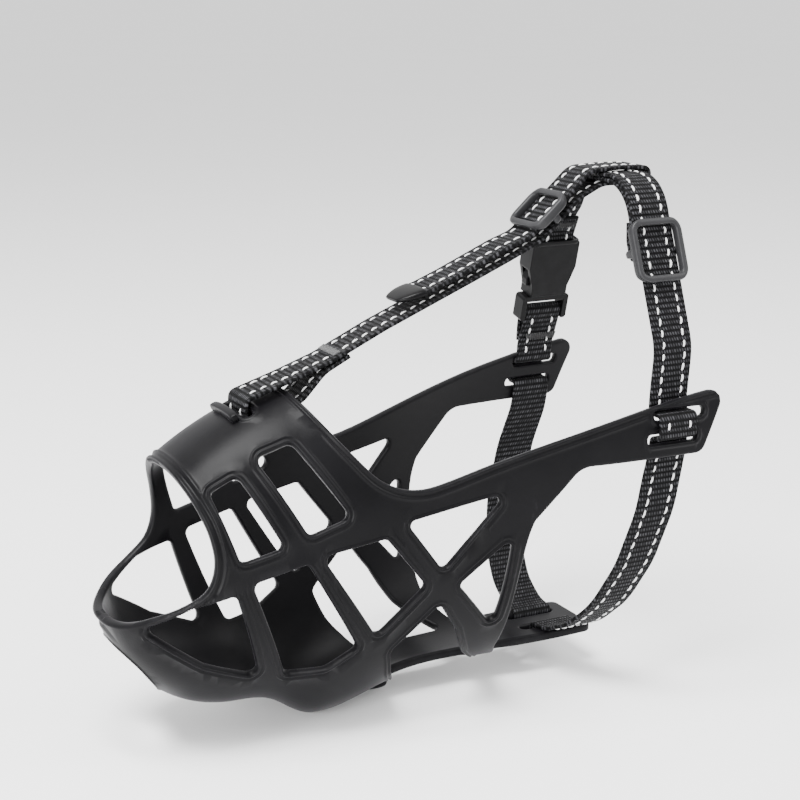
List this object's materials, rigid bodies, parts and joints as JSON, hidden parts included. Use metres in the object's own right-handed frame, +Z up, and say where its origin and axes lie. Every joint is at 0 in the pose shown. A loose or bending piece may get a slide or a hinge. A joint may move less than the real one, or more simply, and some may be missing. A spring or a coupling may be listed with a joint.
{
  "type": "dog basket muzzle",
  "caption": "Open basket muzzle for a dog in soft black plastic, with webbing neck and forehead straps, a side-release buckle and sliding adjusters.",
  "frame": {"origin": "under the middle of the muzzle's length, at the height of the lowest point of the chin", "axes": "+X from the nose lip back to the dog's neck, +Y to the dog's right, +Z up, with the arms level as worn"},
  "size_m": [0.206, 0.1006, 0.1789],
  "materials": {
    "soft_black_plastic": "matt, faintly grained soft moulding",
    "black_webbing": "ribbed nylon webbing with two rows of white reflective thread",
    "black_hard_plastic": "satin moulded plastic",
    "black_thread": "dense zigzag bartack stitching"
  },
  "bodies": {
    "basket": {"basket_shell": "soft_black_plastic", "throat_strap": "black_webbing", "crown_strap": "black_webbing", "forehead_strap": "black_webbing", "forehead_tail_tip": "black_hard_plastic", "buckle_plug": "black_hard_plastic", "bridge_bartack": "black_thread", "plug_bartack": "black_thread", "slider_bartack": "black_thread"},
    "socket": {"buckle_socket": "black_hard_plastic", "socket_bartack": "black_thread"},
    "prong_front": {"plug_prong_front": "black_hard_plastic"},
    "prong_rear": {"plug_prong_rear": "black_hard_plastic"},
    "neck_adjuster": {"neck_slider": "black_hard_plastic"},
    "forehead_adjuster": {"forehead_slider": "black_hard_plastic"}
  },
  "joints": [
    {"name": "buckle_release", "type": "slide", "parent": "basket", "child": "socket", "axis": [0, -0.2566, 0.9665], "range_m": [0, 0.016], "deforming": ["crown_strap", "plug_prong_front", "plug_prong_rear"]},
    {"name": "prong_front_pinch", "type": "hinge", "parent": "basket", "child": "prong_front", "pos_m": [0.0809, 0.0397, 0.12721], "axis": [0, 0.9665, 0.2566], "range_deg": [0, 12], "stiffness_Nm_per_rad": 0.05},
    {"name": "prong_rear_pinch", "type": "hinge", "parent": "basket", "child": "prong_rear", "pos_m": [0.0911, 0.0397, 0.12721], "axis": [0, -0.9665, -0.2566], "range_deg": [0, 12], "stiffness_Nm_per_rad": 0.05},
    {"name": "neck_adjust", "type": "slide", "parent": "basket", "child": "neck_adjuster", "axis": [0, 0.3556, 0.9346], "range_m": [-0.008, 0.004], "deforming": ["crown_strap", "slider_bartack"]},
    {"name": "forehead_adjust", "type": "slide", "parent": "basket", "child": "forehead_adjuster", "axis": [0.7431, 0, 0.6691], "range_m": [0, 0.008]}
  ],
  "couplings": [
    {"joint": "prong_rear_pinch", "follows": "prong_front_pinch", "ratio": 1}
  ]
}
